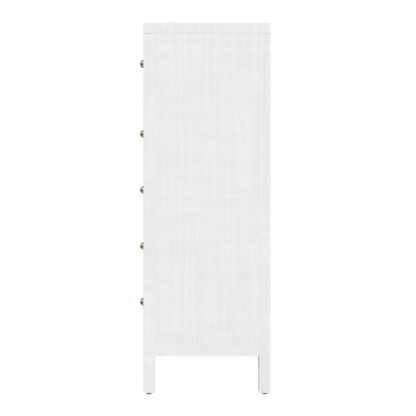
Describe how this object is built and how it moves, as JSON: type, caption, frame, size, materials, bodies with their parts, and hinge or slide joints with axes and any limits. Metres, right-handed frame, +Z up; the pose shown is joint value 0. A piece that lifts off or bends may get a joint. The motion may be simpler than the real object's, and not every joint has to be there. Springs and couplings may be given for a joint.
{
  "type": "tall chest of drawers",
  "caption": "Tall rectangular chest with inset sliding drawers, square post legs, thick flush top and round brass knobs, wrapped in white woven fibre.",
  "frame": {"origin": "on the floor, under the middle of the whole chest, knobs included", "axes": "+Z up, +X to the right of someone facing the drawers, +Y from the drawer fronts to the back, so the drawers slide out along -Y"},
  "size_m": [0.914, 0.464, 1.321],
  "materials": {
    "wrap": "boards and posts wrapped in fine woven fibre under white satin lacquer",
    "box_wood": "solid light hardwood, clear satin lacquer",
    "plywood": "light plywood, thin clear sealer",
    "brass": "satin antique brass, slightly darkened in the hollows",
    "glide": "dark moulded plastic"
  },
  "bodies": {
    "case": {"top_panel": "wrap", "front_left_post": "wrap", "front_right_post": "wrap", "back_left_post": "wrap", "back_right_post": "wrap", "left_side_panel": "wrap", "right_side_panel": "wrap", "left_apron": "wrap", "right_apron": "wrap", "front_apron": "wrap", "back_apron": "wrap", "bottom_rail": "wrap", "mid_rail": "wrap", "back_panel": "wrap", "runner_board_1": "plywood", "runner_board_2": "plywood", "runner_board_3": "plywood", "runner_board_4": "plywood", "bottom_board": "plywood", "top_kicker_left": "plywood", "top_kicker_right": "plywood", "front_left_glide": "glide", "front_right_glide": "glide", "back_left_glide": "glide", "back_right_glide": "glide"},
    "drawer_1": {"drawer_1_front": "wrap", "drawer_1_left_side": "box_wood", "drawer_1_right_side": "box_wood", "drawer_1_back": "box_wood", "drawer_1_bottom": "plywood", "drawer_1_left_knob": "brass", "drawer_1_right_knob": "brass"},
    "drawer_2": {"drawer_2_front": "wrap", "drawer_2_left_side": "box_wood", "drawer_2_right_side": "box_wood", "drawer_2_back": "box_wood", "drawer_2_bottom": "plywood", "drawer_2_left_knob": "brass", "drawer_2_right_knob": "brass"},
    "drawer_3": {"drawer_3_front": "wrap", "drawer_3_left_side": "box_wood", "drawer_3_right_side": "box_wood", "drawer_3_back": "box_wood", "drawer_3_bottom": "plywood", "drawer_3_left_knob": "brass", "drawer_3_right_knob": "brass"},
    "drawer_4": {"drawer_4_front": "wrap", "drawer_4_left_side": "box_wood", "drawer_4_right_side": "box_wood", "drawer_4_back": "box_wood", "drawer_4_bottom": "plywood", "drawer_4_left_knob": "brass", "drawer_4_right_knob": "brass"},
    "drawer_5": {"drawer_5_front": "wrap", "drawer_5_left_side": "box_wood", "drawer_5_right_side": "box_wood", "drawer_5_back": "box_wood", "drawer_5_bottom": "plywood", "drawer_5_left_knob": "brass", "drawer_5_right_knob": "brass"}
  },
  "joints": [
    {"name": "drawer_1_slide", "type": "slide", "parent": "case", "child": "drawer_1", "axis": [0, -1, 0], "range_m": [0, 0.29]},
    {"name": "drawer_2_slide", "type": "slide", "parent": "case", "child": "drawer_2", "axis": [0, -1, 0], "range_m": [0, 0.29]},
    {"name": "drawer_3_slide", "type": "slide", "parent": "case", "child": "drawer_3", "axis": [0, -1, 0], "range_m": [0, 0.29]},
    {"name": "drawer_4_slide", "type": "slide", "parent": "case", "child": "drawer_4", "axis": [0, -1, 0], "range_m": [0, 0.29]},
    {"name": "drawer_5_slide", "type": "slide", "parent": "case", "child": "drawer_5", "axis": [0, -1, 0], "range_m": [0, 0.29]}
  ]
}
